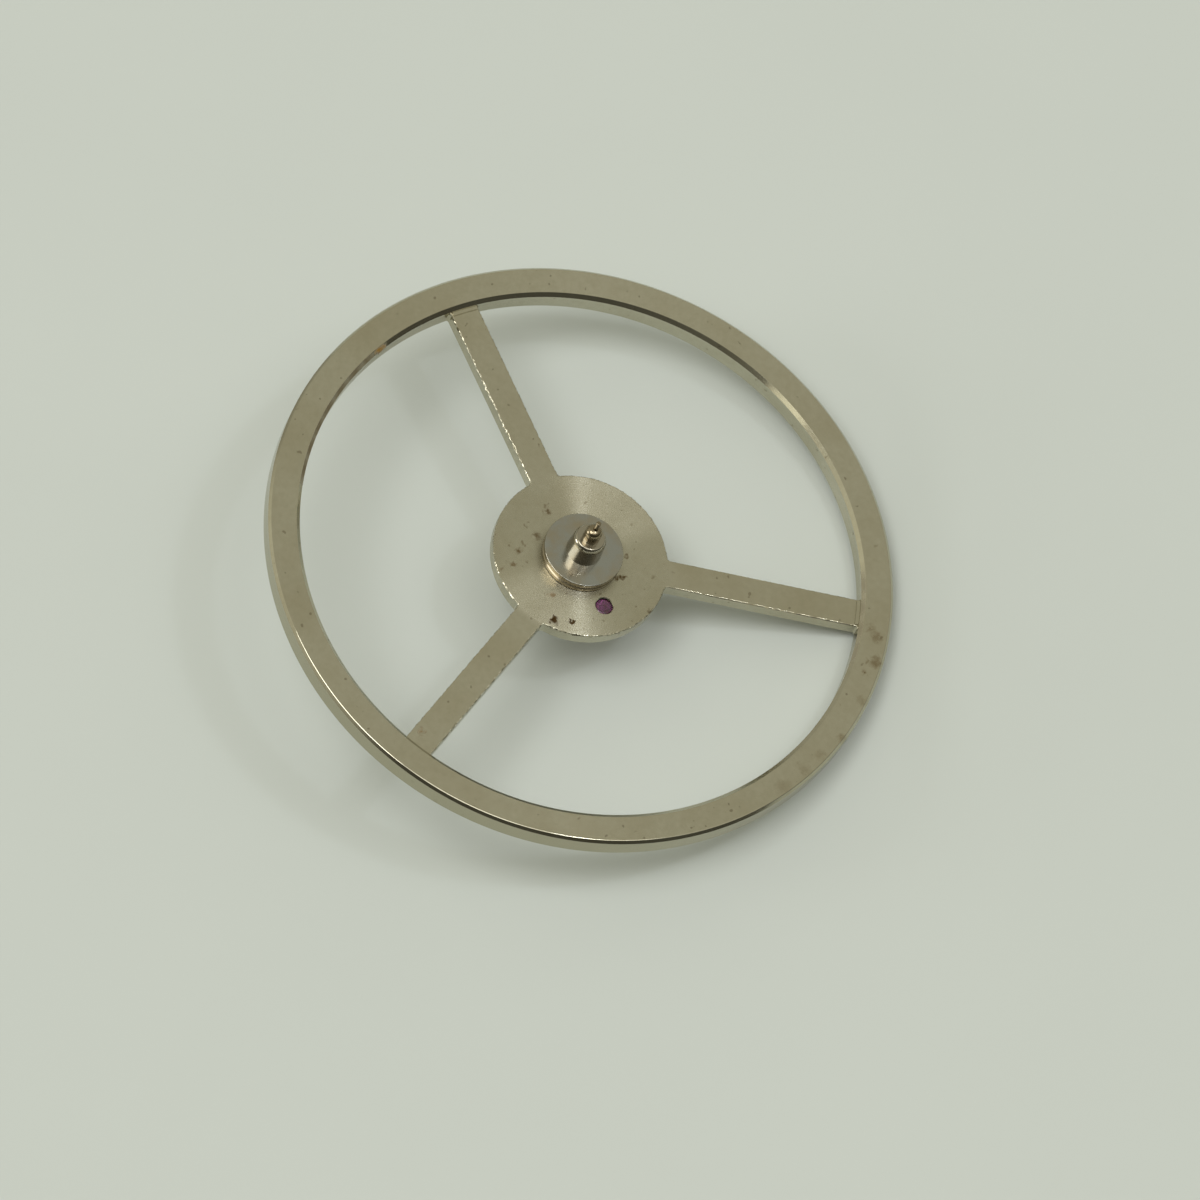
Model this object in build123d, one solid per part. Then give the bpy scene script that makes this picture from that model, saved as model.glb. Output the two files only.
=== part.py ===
from build123d import *
from math import cos, radians, sin
import os

# A three-armed balance wheel on its staff, as a bench shows it without its hairspring.
# All lengths are in millimetres. +Z runs up the staff, towards the hairspring's end.
# The origin is the tip of the lower pivot, on the staff's axis.
# The wheel is turned and crossed out from one blank. The staff is pressed through its
# hub and riveted below, the impulse jewel is pressed into the hub, and the safety roller
# is pushed onto the staff from below.

# Rim
rim_diameter = 10.0
rim_width = 0.505
rim_height = 0.354
rim_outer_chamfer = 0.035
rim_inner_chamfer = 0.06
rim_lower_edge_break = 0.02

# Web: the hub disc and the arms, one thin plate inside the rim
web_thickness = 0.21
web_recess = 0.10
arm_count = 3
arm_width = 0.475
hub_diameter = 2.80
crossing_corner_radius = 0.05
web_edge_break = 0.035
first_arm_angle = 90.0

# Tool mark that the turning of the recess leaves on the arms, against the rim
ledge_width = 0.06
ledge_height = 0.025

# Staff above the wheel
flange_diameter = 1.26
flange_height = 0.21
flange_edge_break = 0.015
collet_seat_diameter = 0.52
collet_seat_length = 0.42
collet_seat_chamfer = 0.06
upper_shank_length = 0.14

# Staff inside and below the wheel. The arbor tapers down to the roller, and the roller's
# seat has the slight taper that lets the roller be pushed tight.
wheel_seat_diameter = 0.84
rivet_spread = 0.06
rivet_height = 0.07
arbor_diameter = 0.56
arbor_foot_diameter = 0.46
arbor_length = 0.555
roller_seat_diameter = 0.36
roller_seat_foot_diameter = 0.35
roller_seat_show = 0.10
roller_seat_edge_break = 0.02
lower_shank_length = 0.12

# Pivots, alike at both ends. The shank behind each shoulder is drawn out to a slight taper.
shank_diameter = 0.265
shank_root_diameter = 0.275
shoulder_length = 0.13
shoulder_bulge_share = 0.24
pivot_diameter = 0.08
pivot_length = 0.21
pivot_tip_radius = 0.015

# Impulse jewel, standing in the hub between two arms
jewel_diameter = 0.27
jewel_orbit_radius = 0.906
jewel_recess = 0.03
jewel_reach = 0.60
jewel_edge_break = 0.03
jewel_hole_edge_break = 0.015
jewel_angle = first_arm_angle - 180.0 / arm_count

# Safety roller
roller_diameter = 0.88
roller_thickness = 0.18
roller_edge_break = 0.02
crescent_radius = 0.14
crescent_depth = 0.10

# One overrun serves every cut and every fused overlap
overrun = 0.2

# Radii
rim_outer_radius = rim_diameter / 2
rim_inner_radius = rim_outer_radius - rim_width
rim_middle_radius = rim_outer_radius - rim_width / 2
hub_radius = hub_diameter / 2
flange_radius = flange_diameter / 2
collet_seat_radius = collet_seat_diameter / 2
wheel_seat_radius = wheel_seat_diameter / 2
arbor_radius = arbor_diameter / 2
arbor_foot_radius = arbor_foot_diameter / 2
roller_seat_radius = roller_seat_diameter / 2
roller_seat_foot_radius = roller_seat_foot_diameter / 2
roller_radius = roller_diameter / 2
shank_radius = shank_diameter / 2
shank_root_radius = shank_root_diameter / 2
pivot_radius = pivot_diameter / 2
jewel_radius = jewel_diameter / 2

# Heights along the staff, stacked up from the tip of the lower pivot
lower_end_top = pivot_length + shoulder_length + lower_shank_length
roller_bottom = lower_end_top + roller_seat_show
roller_top = roller_bottom + roller_thickness
rivet_bottom = roller_top + arbor_length
web_bottom = rivet_bottom + rivet_height
web_top = web_bottom + web_thickness
flange_top = web_top + flange_height
collet_seat_top = flange_top + collet_seat_length
staff_top = collet_seat_top + upper_shank_length + shoulder_length + pivot_length
rim_top = web_top + web_recess
rim_bottom = rim_top - rim_height


def turned(points):
    """The solid that a closed outline of (radius, height) points sweeps about the staff's axis."""
    outline = make_face(Plane.XZ * Polyline(*points, close=True))
    return revolve(outline, axis=Axis.Z)


def disc(radius, bottom, top):
    """A plain round slice of the staff's axis between two heights."""
    return Pos(0, 0, bottom) * Cylinder(
        radius, top - bottom, align=(Align.CENTER, Align.CENTER, Align.MIN)
    )


def jewel_place():
    """Where the jewel stands, seen from above."""
    angle = radians(jewel_angle)
    return Pos(jewel_orbit_radius * cos(angle), jewel_orbit_radius * sin(angle), 0)


def seat_radius_at(height):
    """The tapered roller seat's radius at one height, which the roller's bore shares."""
    share = (height - lower_end_top) / (roller_top - lower_end_top)
    return roller_seat_foot_radius + share * (roller_seat_radius - roller_seat_foot_radius)


def rim():
    """The plain ring: a wide inner chamfer above, a fine outer one, and broken lower edges."""
    inner, outer = rim_inner_radius, rim_outer_radius
    return turned(
        [
            (inner + rim_lower_edge_break, rim_bottom),
            (outer - rim_lower_edge_break, rim_bottom),
            (outer, rim_bottom + rim_lower_edge_break),
            (outer, rim_top - rim_outer_chamfer),
            (outer - rim_outer_chamfer, rim_top),
            (inner + rim_inner_chamfer, rim_top),
            (inner, rim_top - rim_inner_chamfer),
            (inner, rim_bottom + rim_lower_edge_break),
        ]
    )


def arm_turns():
    """The turn of each arm about the staff."""
    return [Rot(0, 0, first_arm_angle + number * 360 / arm_count) for number in range(arm_count)]


def arms_outline():
    """The arms as strips that run from the axis into the rim."""
    strip = Rectangle(rim_middle_radius, arm_width, align=(Align.MIN, Align.CENTER))
    return Sketch() + [turn * strip for turn in arm_turns()]


def crossings():
    """The windows between the arms, with the small corner radius of the piercing tool."""
    windows = Circle(rim_inner_radius) - Circle(hub_radius) - arms_outline()
    return fillet(windows.vertices(), crossing_corner_radius)


def web():
    """Hub disc and arms, pierced in one plate, with the upper edges of the windows broken."""
    plate_outline = Circle(rim_middle_radius) - crossings()
    plate = Pos(0, 0, web_bottom) * extrude(plate_outline, web_thickness)
    upper_face = plate.faces().sort_by(Axis.Z)[-1]
    window_edges = [edge for wire in upper_face.inner_wires() for edge in wire.edges()]
    return chamfer(window_edges, web_edge_break)


def arm_ledges():
    """The low step across each arm where the turning tool stopped short of the rim."""
    ring = disc(rim_middle_radius, web_bottom, web_top + ledge_height)
    ring -= disc(rim_inner_radius - ledge_width, web_bottom - overrun, web_top + overrun)
    flat_width = arm_width - 2 * web_edge_break
    strip = Rectangle(rim_outer_radius, flat_width, align=(Align.MIN, Align.CENTER))
    bar = Pos(0, 0, web_bottom) * extrude(strip, web_thickness + overrun)
    return [ring & turn * bar for turn in arm_turns()]


def balance_wheel():
    """Rim, arms and hub in one piece, bored for the staff and the impulse jewel."""
    wheel = rim() + web()
    for ledge in arm_ledges():
        wheel += ledge
    wheel -= disc(wheel_seat_radius, web_bottom - overrun, web_top + overrun)
    jewel_hole = disc(jewel_radius, web_bottom - overrun, web_top + overrun)
    funnel = turned(
        [
            (0, web_top - jewel_hole_edge_break),
            (jewel_radius, web_top - jewel_hole_edge_break),
            (jewel_radius + jewel_hole_edge_break + overrun, web_top + overrun),
            (0, web_top + overrun),
        ]
    )
    return wheel - jewel_place() * jewel_hole - jewel_place() * funnel


def staff_end(shank_length):
    """One end of the staff, tip down: pivot, bulging shoulder and shank, standing on z = 0."""
    shoulder_bottom = pivot_length
    shoulder_top = shoulder_bottom + shoulder_length
    end_top = shoulder_top + shank_length
    chord = ((shank_radius - pivot_radius) ** 2 + shoulder_length**2) ** 0.5
    tip_face = Line((0, 0), (pivot_radius - pivot_tip_radius, 0))
    tip_round = RadiusArc(
        (pivot_radius - pivot_tip_radius, 0), (pivot_radius, pivot_tip_radius), -pivot_tip_radius
    )
    pivot_side = Line((pivot_radius, pivot_tip_radius), (pivot_radius, shoulder_bottom))
    shoulder = SagittaArc(
        (pivot_radius, shoulder_bottom), (shank_radius, shoulder_top), -shoulder_bulge_share * chord
    )
    rest = Polyline((shank_radius, shoulder_top), (shank_root_radius, end_top), (0, end_top), (0, 0))
    outline = make_face(Plane.XZ * (tip_face + tip_round + pivot_side + shoulder + rest))
    return revolve(outline, axis=Axis.Z)


def balance_staff():
    """The staff in one turning, from the lower pivot up to the upper one."""
    seat_start = lower_end_top + roller_seat_edge_break
    body = turned(
        [
            (0, lower_end_top),
            (seat_radius_at(seat_start) - roller_seat_edge_break, lower_end_top),
            (seat_radius_at(seat_start), seat_start),
            (seat_radius_at(roller_top), roller_top),
            (arbor_foot_radius, roller_top),
            (arbor_radius, rivet_bottom),
            (wheel_seat_radius, rivet_bottom),
            (wheel_seat_radius + rivet_spread, web_bottom),
            (wheel_seat_radius, web_bottom),
            (wheel_seat_radius, web_top),
            (flange_radius, web_top),
            (flange_radius, flange_top - flange_edge_break),
            (flange_radius - flange_edge_break, flange_top),
            (collet_seat_radius, flange_top),
            (collet_seat_radius, collet_seat_top - collet_seat_chamfer),
            (collet_seat_radius - collet_seat_chamfer, collet_seat_top),
            (0, collet_seat_top),
        ]
    )
    upper_end = Pos(0, 0, staff_top) * Rot(180, 0, 0) * staff_end(upper_shank_length)
    return body + staff_end(lower_shank_length) + upper_end


def impulse_jewel():
    """A round ruby pin: its top just under the hub's face, its foot standing out below."""
    top = web_top - jewel_recess
    bottom = web_bottom - jewel_reach
    pin = turned(
        [
            (0, bottom),
            (jewel_radius - jewel_edge_break, bottom),
            (jewel_radius, bottom + jewel_edge_break),
            (jewel_radius, top - jewel_edge_break),
            (jewel_radius - jewel_edge_break, top),
            (0, top),
        ]
    )
    return jewel_place() * pin


def safety_roller():
    """A small steel disc with the crescent that lets the guard finger pass, facing the jewel."""
    roller = turned(
        [
            (seat_radius_at(roller_bottom), roller_bottom),
            (roller_radius - roller_edge_break, roller_bottom),
            (roller_radius, roller_bottom + roller_edge_break),
            (roller_radius, roller_top - roller_edge_break),
            (roller_radius - roller_edge_break, roller_top),
            (seat_radius_at(roller_top), roller_top),
        ]
    )
    crescent_centre = roller_radius + crescent_radius - crescent_depth
    crescent = disc(crescent_radius, roller_bottom - overrun, roller_top + overrun)
    return roller - Rot(0, 0, jewel_angle) * Pos(crescent_centre, 0, 0) * crescent


nodes = {
    "balance_wheel": balance_wheel(),
    "balance_staff": balance_staff(),
    "impulse_jewel": impulse_jewel(),
    "safety_roller": safety_roller(),
}

os.makedirs("parts", exist_ok=True)
for name, shape in nodes.items():
    export_step(shape, f"parts/{name}.step")
    box = shape.bounding_box()
    print(f"{name}: {shape.volume:.4f} mm3, from {box.min.Z:.3f} to {box.max.Z:.3f} mm high")
print(f"staff length {staff_top:.3f} mm, rim top at {rim_top:.3f} mm")
print(f"web from {web_bottom:.3f} to {web_top:.3f} mm, flange top at {flange_top:.3f} mm")
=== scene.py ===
# %% [markdown]
# # A watch's balance wheel
# The balance is the part of a mechanical watch that swings to and fro and keeps the time.
# It is about ten millimetres across and has four pieces: a three-armed wheel turned from
# pale nickel silver, a polished steel staff that carries it, a ruby pin that stands in its
# hub, and a small steel roller under the hub. Each section below makes one piece or one
# finish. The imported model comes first, as a fixed frame: it says where every piece lies,
# and nothing in it is moved.

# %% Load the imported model
from contextlib import contextmanager
from math import atan2, cos, degrees, pi, radians, sin, sqrt

import bmesh
import bpy
from mathutils import Matrix, Vector


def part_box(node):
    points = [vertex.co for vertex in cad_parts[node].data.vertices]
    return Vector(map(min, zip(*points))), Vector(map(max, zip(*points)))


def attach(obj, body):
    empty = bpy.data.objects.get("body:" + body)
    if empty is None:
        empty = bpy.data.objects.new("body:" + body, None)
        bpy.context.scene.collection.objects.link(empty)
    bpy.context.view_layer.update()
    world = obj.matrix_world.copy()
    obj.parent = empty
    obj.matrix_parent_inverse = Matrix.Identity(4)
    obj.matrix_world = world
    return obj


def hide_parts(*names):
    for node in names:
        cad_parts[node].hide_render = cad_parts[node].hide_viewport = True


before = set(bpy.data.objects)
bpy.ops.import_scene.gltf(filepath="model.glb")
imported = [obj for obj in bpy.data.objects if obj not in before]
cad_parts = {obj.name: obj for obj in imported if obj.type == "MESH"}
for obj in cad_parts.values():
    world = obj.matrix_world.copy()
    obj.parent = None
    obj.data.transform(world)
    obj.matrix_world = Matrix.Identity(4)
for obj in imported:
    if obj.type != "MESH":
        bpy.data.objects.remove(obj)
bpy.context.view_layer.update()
print("nodes in the frame:", sorted(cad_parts))

# %% [markdown]
# ## Sizes
# The outline sizes and heights are read from the frame. The sizes that a box can't tell,
# such as the width of an arm, are the real ones, in millimetres. Blender's edit tools merge
# and cut with fixed tolerances of about a ten-thousandth of a unit, which is far too coarse
# for a part that measures a hundredth of a metre. So each piece is made on a "bench" where
# one unit is one millimetre, and is shrunk to metres when it is finished.

# %% Sizes in millimetres
MM = 0.001


def box_in_mm(node):
    """The lowest and highest corner of a node of the frame, in millimetres."""
    low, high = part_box(node)
    return low / MM, high / MM


wheel_low, wheel_high = box_in_mm("balance_wheel")
staff_high = box_in_mm("balance_staff")[1]
jewel_low, jewel_high = box_in_mm("impulse_jewel")
roller_low, roller_high = box_in_mm("safety_roller")

rim_radius = wheel_high.x
rim_width = 0.505
rim_inner_radius = rim_radius - rim_width
rim_bottom = wheel_low.z
rim_top = wheel_high.z
web_recess = 0.10
web_thickness = 0.21
web_top = rim_top - web_recess
web_bottom = web_top - web_thickness
hub_radius = 1.40
arm_width = 0.475
arm_angles = [90.0, 210.0, 330.0]
wheel_seat_radius = 0.42
print("rim radius", round(rim_radius, 4), "web from", round(web_bottom, 4), "to", round(web_top, 4))

# %% [markdown]
# ## Working on the bench
# A few helpers do the handling that a modeller's mouse would do. `take_up` picks one piece.
# `editing` opens a piece in edit mode with only the wanted vertices, edges or faces
# selected, and closes it again. `rod` adds a cylinder by its bottom and top. `carve` cuts,
# trims or joins a piece with a tool and throws the tool away, and `copy_turned` repeats a
# tool round the axis. Every operator acts on what is selected, so a helper that uses one
# deselects everything first. A cutting tool stands out a little past what it cuts.

# %% Bench helpers
tool_overrun = 0.1


def take_up(piece):
    """Makes one piece the only selected and active object."""
    bpy.ops.object.select_all(action="DESELECT")
    piece.select_set(True)
    bpy.context.view_layer.objects.active = piece


@contextmanager
def editing(piece, kind, test):
    """Opens a piece with the vertices, edges or faces that pass the test selected."""
    take_up(piece)
    bpy.ops.object.mode_set(mode="EDIT")
    bpy.ops.mesh.select_mode(type=kind)
    bpy.ops.mesh.select_all(action="DESELECT")
    grid = bmesh.from_edit_mesh(piece.data)
    members = {"VERT": grid.verts, "EDGE": grid.edges, "FACE": grid.faces}[kind]
    chosen = [member for member in members if test(member)]
    for member in chosen:
        member.select_set(True)
    grid.select_flush_mode()
    bmesh.update_edit_mesh(piece.data)
    yield len(chosen)
    bpy.ops.object.mode_set(mode="OBJECT")


def everything(member):
    """A test that every vertex, edge or face passes."""
    return True


def rod(name, radius, bottom, top, segments, x=0.0, y=0.0):
    """Adds an upright cylinder between two heights."""
    bpy.ops.object.select_all(action="DESELECT")
    middle = (bottom + top) / 2
    bpy.ops.mesh.primitive_cylinder_add(
        vertices=segments, radius=radius, depth=top - bottom, location=(x, y, middle)
    )
    piece = bpy.context.object
    piece.name = name
    bpy.ops.object.transform_apply(location=True, rotation=True, scale=True)
    return piece


def carve(piece, tool, operation="DIFFERENCE"):
    """Cuts, trims or joins a piece with a tool, and throws the tool away."""
    take_up(piece)
    cut = piece.modifiers.new("cut", "BOOLEAN")
    cut.operation = operation
    cut.solver = "EXACT"
    cut.object = tool
    bpy.ops.object.modifier_apply(modifier=cut.name)
    bpy.data.objects.remove(tool)


def copy_turned(piece, angle):
    """A copy of a piece with its own mesh, turned about the staff's axis."""
    twin = piece.copy()
    twin.data = piece.data.copy()
    bpy.context.scene.collection.objects.link(twin)
    twin.data.transform(Matrix.Rotation(radians(angle), 4, "Z"))
    return twin


print("tools stand out by", tool_overrun)

# %% [markdown]
# ## Finishing a piece
# A finished piece has its doubled points merged, its faces turned outwards and its shading
# set: smooth on the round stretches, sharp where two faces meet at a marked angle. Weighted
# normals then let the large flat faces stay flat, so that only the narrow rounded edges
# bend the light. Last, the piece is shrunk to metres and takes the place of its node.

# %% Finish a piece and seat it in the frame
merge_distance = 0.00005
sharp_angle = 28.0


def seat(piece, name, node):
    """Cleans, shades and shrinks a piece, and puts it in the place of its node."""
    with editing(piece, "VERT", everything):
        bpy.ops.mesh.remove_doubles(threshold=merge_distance)
        bpy.ops.mesh.select_all(action="SELECT")
        bpy.ops.mesh.normals_make_consistent(inside=False)
    take_up(piece)
    bpy.ops.object.shade_smooth_by_angle(angle=radians(sharp_angle))
    flats = piece.modifiers.new("flats", "WEIGHTED_NORMAL")
    flats.keep_sharp = True
    bpy.ops.object.modifier_apply(modifier=flats.name)
    bpy.ops.transform.resize(value=(MM, MM, MM), center_override=(0, 0, 0))
    bpy.ops.object.transform_apply(location=True, rotation=True, scale=True)
    piece.name = name
    piece.data.name = name
    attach(piece, "root")
    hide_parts(node)
    triangles = sum(len(face.vertices) - 2 for face in piece.data.polygons)
    print(name, "has", triangles, "triangles and is", [round(side / MM, 3) for side in piece.dimensions])


print("points nearer than", merge_distance, "merge, angles over", sharp_angle, "degrees stay sharp")

# %% [markdown]
# ## The rim
# The rim is the wheel's flywheel: a plain heavy ring, turned on a lathe. A lathe is also the
# way to make it here. A small upright plane is drawn out to the ring's section, its corners
# are bevelled, and the section is spun once round the axis. Both upper edges carry a flat
# chamfer, which mirrors the dark room as a black line. Where the outer chamfer meets the top
# it is rounded once more, and this narrow round catches the light as the thin bright line
# beside the black one. A single rounded edge would blur the two lines into one grey band.
# The inner chamfer is a little flatter, so its lower corner is lifted after the bevel.

# %% Spin the rim
ring_steps = 384
rim_outer_chamfer = 0.042
rim_inner_chamfer = 0.060
rim_inner_lift = 0.010
rim_edge_round = 0.010
rim_lower_break = 0.02


def at_corner(radius, height):
    """A test for the corner of the section at one radius and height."""
    place = Vector((radius, 0, height))
    return lambda vertex: (vertex.co - place).length < merge_distance


bpy.ops.object.select_all(action="DESELECT")
bpy.ops.mesh.primitive_plane_add(size=1, rotation=(pi / 2, 0, 0))
rim = bpy.context.object
bpy.ops.transform.resize(value=(rim_width, 1, rim_top - rim_bottom))
bpy.ops.transform.translate(value=(rim_radius - rim_width / 2, 0, (rim_top + rim_bottom) / 2))
bpy.ops.object.transform_apply(location=True, rotation=True, scale=True)
# radius and height of the corner, size of its break, segments of the break
section_corners = [
    (rim_radius, rim_top, rim_outer_chamfer, 1),
    (rim_radius - rim_outer_chamfer, rim_top, rim_edge_round, 4),
    (rim_inner_radius, rim_top, rim_inner_chamfer, 1),
    (rim_radius, rim_bottom, rim_lower_break, 2),
    (rim_inner_radius, rim_bottom, rim_lower_break, 2),
]
for radius, height, size, segments in section_corners:
    with editing(rim, "VERT", at_corner(radius, height)) as found:
        bpy.ops.mesh.bevel(offset=size, segments=segments, affect="VERTICES")
        print("section corner", round(radius, 3), round(height, 3), "found", found)
with editing(rim, "VERT", at_corner(rim_inner_radius, rim_top - rim_inner_chamfer)) as found:
    bpy.ops.transform.translate(value=(0, 0, rim_inner_lift))
    print("lower corner of the inner chamfer lifted:", found)
with editing(rim, "FACE", everything):
    bpy.ops.mesh.delete(type="ONLY_FACE")
with editing(rim, "VERT", everything):
    bpy.ops.mesh.spin(steps=ring_steps, angle=2 * pi, center=(0, 0, 0), axis=(0, 0, 1))
    bpy.ops.mesh.select_all(action="SELECT")
    bpy.ops.mesh.remove_doubles(threshold=merge_distance)
    bpy.ops.mesh.normals_make_consistent(inside=False)
print("rim faces", len(rim.data.polygons))

# %% [markdown]
# ## The windows between the arms
# Hub and arms are one thin plate, and a real one is "crossed out": three windows are pierced
# through it, which leaves the arms standing. The same thing is done here. One pin with the
# window's outline is made from a cylinder, cut to a wedge along the sides of two arms, with
# the hub taken out of it. Its upright corners get the small radius of the piercing tool.
# The short facets beside each corner are dissolved first, so that the bevel has room.

# %% A pin with the outline of one window
corner_radius = 0.05
corner_room = 1.6 * corner_radius
corner_reach = 0.004
corner_segments = 6
window_overlap = 0.0005
window_radius = rim_inner_radius + window_overlap


def cut_along_arm(pin, angle, side):
    """Bisects the pin along one side of an arm and drops the part on the arm."""
    along = Vector((cos(radians(angle)), sin(radians(angle)), 0))
    across = Vector((-along.y, along.x, 0)) * side
    with editing(pin, "VERT", everything):
        bpy.ops.mesh.bisect(
            plane_co=across * arm_width / 2, plane_no=across, use_fill=True, clear_inner=True
        )


window = rod("window", window_radius, web_bottom - tool_overrun, web_top + tool_overrun, ring_steps)
cut_along_arm(window, arm_angles[0], 1)
cut_along_arm(window, arm_angles[1], -1)
carve(window, rod("hub_tool", hub_radius, web_bottom - web_thickness, web_top + web_thickness, ring_steps))


def corner_at(radius, angle, side):
    """Where one side of an arm meets a circle about the axis, seen from above."""
    reach = sqrt(radius**2 - (arm_width / 2) ** 2)
    place = Vector((reach, side * arm_width / 2, 0))
    return Matrix.Rotation(radians(angle), 3, "Z") @ place


window_corners = [
    corner_at(radius, angle, side)
    for radius in (hub_radius, window_radius)
    for angle, side in ((arm_angles[0], 1), (arm_angles[1], -1))
]


def upright_near_corner(low, high):
    """A test for upright edges whose distance from the nearest corner is within limits."""

    def test(edge):
        one, other = edge.verts
        if abs(one.co.z - other.co.z) < tool_overrun:
            return False
        gap = min((one.co.xy - corner.xy).length for corner in window_corners)
        return low <= gap < high

    return test


with editing(window, "EDGE", upright_near_corner(corner_reach, corner_room)) as found:
    bpy.ops.mesh.dissolve_edges(use_verts=True)
    print("facets merged beside the corners:", found)
with editing(window, "EDGE", upright_near_corner(0, corner_reach)) as found:
    bpy.ops.mesh.bevel(offset=corner_radius, segments=corner_segments, clamp_overlap=False)
    print("corners rounded:", found)

# %% [markdown]
# ## Piercing the plate
# The plate is a disc that reaches into the middle of the rim's section. The pin is copied
# for the other two windows, each copy with its own mesh, and all three are taken out of the
# disc. What is left is the hub with its arms, ready to be let into the rim.

# %% Pierce the three windows
plate = rod("plate", rim_radius - rim_width / 2, web_bottom, web_top, ring_steps)
for number in range(len(arm_angles)):
    carve(plate, copy_turned(window, number * 360 / len(arm_angles)))
bpy.data.objects.remove(window)
print("plate faces after piercing:", len(plate.data.polygons))

# %% [markdown]
# ## The broken edges
# The upper edges of the windows are broken with a file, and the punch has left them ragged:
# in the photograph the near edge of the hub and one side of an arm sparkle, while the edge
# of another arm is a clean bright line. So the edges get a real bevel, the long straight
# stretches are cut into short steps, and the points of the bevel are then shaken a little,
# more on the ragged sides than on the clean arm, and not close to the rim. The shaking
# starts from a fixed seed, so that it comes out the same each time.

# %% Bevel and roughen the window edges
web_edge_break = 0.025
web_edge_segments = 3
step_length = 0.03
long_side = 1.0
calm_end = 0.08
clean_arm_reach = radians(10)
ragged_shake = 0.006
clean_shake = 0.0015
shake_seed = 11
# how far a point may lie from the place where a test looks for it
tiny = 0.0008


def window_rim_edge(edge):
    """A test for the upper outline of the windows."""
    flat = all(abs(vertex.co.z - web_top) < tiny for vertex in edge.verts)
    inside = all(vertex.co.xy.length < window_radius + tiny for vertex in edge.verts)
    walls = [face for face in edge.link_faces if abs(face.normal.z) < 0.5]
    return flat and inside and len(walls) == 1


with editing(plate, "EDGE", window_rim_edge) as found:
    bpy.ops.mesh.bevel(offset=web_edge_break, segments=web_edge_segments, clamp_overlap=False)
    print("edges broken:", found)


def long_edge(edge):
    """A test for the level edges that run along an arm, on the bevel or at the wall's foot."""
    level = abs(edge.verts[0].co.z - edge.verts[1].co.z) < tiny
    reach = [vertex.co.xy.length for vertex in edge.verts]
    return level and edge.calc_length() > long_side and max(reach) < window_radius + tiny


with editing(plate, "EDGE", long_edge) as found:
    cuts = round((rim_inner_radius - hub_radius) / step_length)
    bpy.ops.mesh.subdivide(number_cuts=cuts)
    print("edges along the arms:", found, "cuts in each:", cuts)


def bevel_points(ragged):
    """A test for the inner points of the bevel, on the ragged sides or on the clean arm."""
    low, high = web_top - web_edge_break - tiny, web_top - tiny

    def test(vertex):
        on_bevel = low < vertex.co.z < high and vertex.co.xy.length < rim_inner_radius - calm_end
        around = atan2(vertex.co.y, vertex.co.x)
        on_clean_arm = abs(around - radians(arm_angles[0])) < clean_arm_reach
        return on_bevel and on_clean_arm != ragged

    return test


for ragged, shake in ((True, ragged_shake), (False, clean_shake)):
    with editing(plate, "VERT", bevel_points(ragged)) as found:
        bpy.ops.transform.vertex_random(offset=shake, uniform=1.0, normal=0.0, seed=shake_seed)
        print("points shaken by", shake, ":", found)

# %% [markdown]
# ## The step at the end of each arm
# The lathe tool that sinks the web stops just short of the rim, and leaves a low step across
# the end of each arm. It is a short bar, trimmed to a ring by two cylinders. One is made and
# copied to the other arms.

# %% Steps across the arm ends
step_width = 0.06
step_height = 0.025

bpy.ops.object.select_all(action="DESELECT")
bpy.ops.mesh.primitive_cube_add(size=1)
ledge = bpy.context.object
bar_width = arm_width - 2 * web_edge_break
bar_bottom = web_top - web_thickness / 2
bar_top = web_top + step_height
bpy.ops.transform.resize(value=(1, bar_width, bar_top - bar_bottom))
bpy.ops.transform.translate(value=(rim_inner_radius, 0, (bar_top + bar_bottom) / 2))
bpy.ops.object.transform_apply(location=True, rotation=True, scale=True)
tool_bottom, tool_top = bar_bottom - tool_overrun, bar_top + tool_overrun
outer_tool = rod("outer_tool", rim_inner_radius + rim_width / 3, tool_bottom, tool_top, ring_steps)
inner_tool = rod("inner_tool", rim_inner_radius - step_width, tool_bottom, tool_top, ring_steps)
carve(ledge, outer_tool, "INTERSECT")
carve(ledge, inner_tool)
for angle in arm_angles:
    carve(plate, copy_turned(ledge, angle), "UNION")
bpy.data.objects.remove(ledge)
print("plate faces with its steps:", len(plate.data.polygons))

# %% [markdown]
# ## The wheel in one piece
# Rim and plate are one turning on the real wheel, so they are joined. Then the hub is bored
# for the staff and for the ruby pin. The pin's hole has a small funnel at its mouth, and two
# dimples are drilled where the photograph shows dark pits. Funnel and dimples are cones
# whose middle lies on the hub's face, so that half of each cone cuts.

# %% Join, bore and seat the wheel
jewel_x = (jewel_low.x + jewel_high.x) / 2
jewel_y = (jewel_low.y + jewel_high.y) / 2
jewel_radius = (jewel_high.x - jewel_low.x) / 2
jewel_hole_break = 0.015
jewel_clearance = 0.002
funnel_slope = 1.0
dimple_slope = 1.2
# distance from the axis, angle in degrees, radius
dimples = [(1.256, -14.6, 0.034), (1.173, -2.0, 0.026)]
bore_steps = 192
pin_steps = 96
sink_steps = 48


def sink(piece, radius, slope, x, y):
    """Sinks a cone into the hub's face, `slope` times as deep as its radius there."""
    bpy.ops.object.select_all(action="DESELECT")
    bpy.ops.mesh.primitive_cone_add(
        vertices=sink_steps,
        radius1=0,
        radius2=2 * radius,
        depth=2 * slope * radius,
        location=(x, y, web_top),
    )
    bpy.ops.object.transform_apply(location=True, rotation=True, scale=True)
    carve(piece, bpy.context.object)


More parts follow.
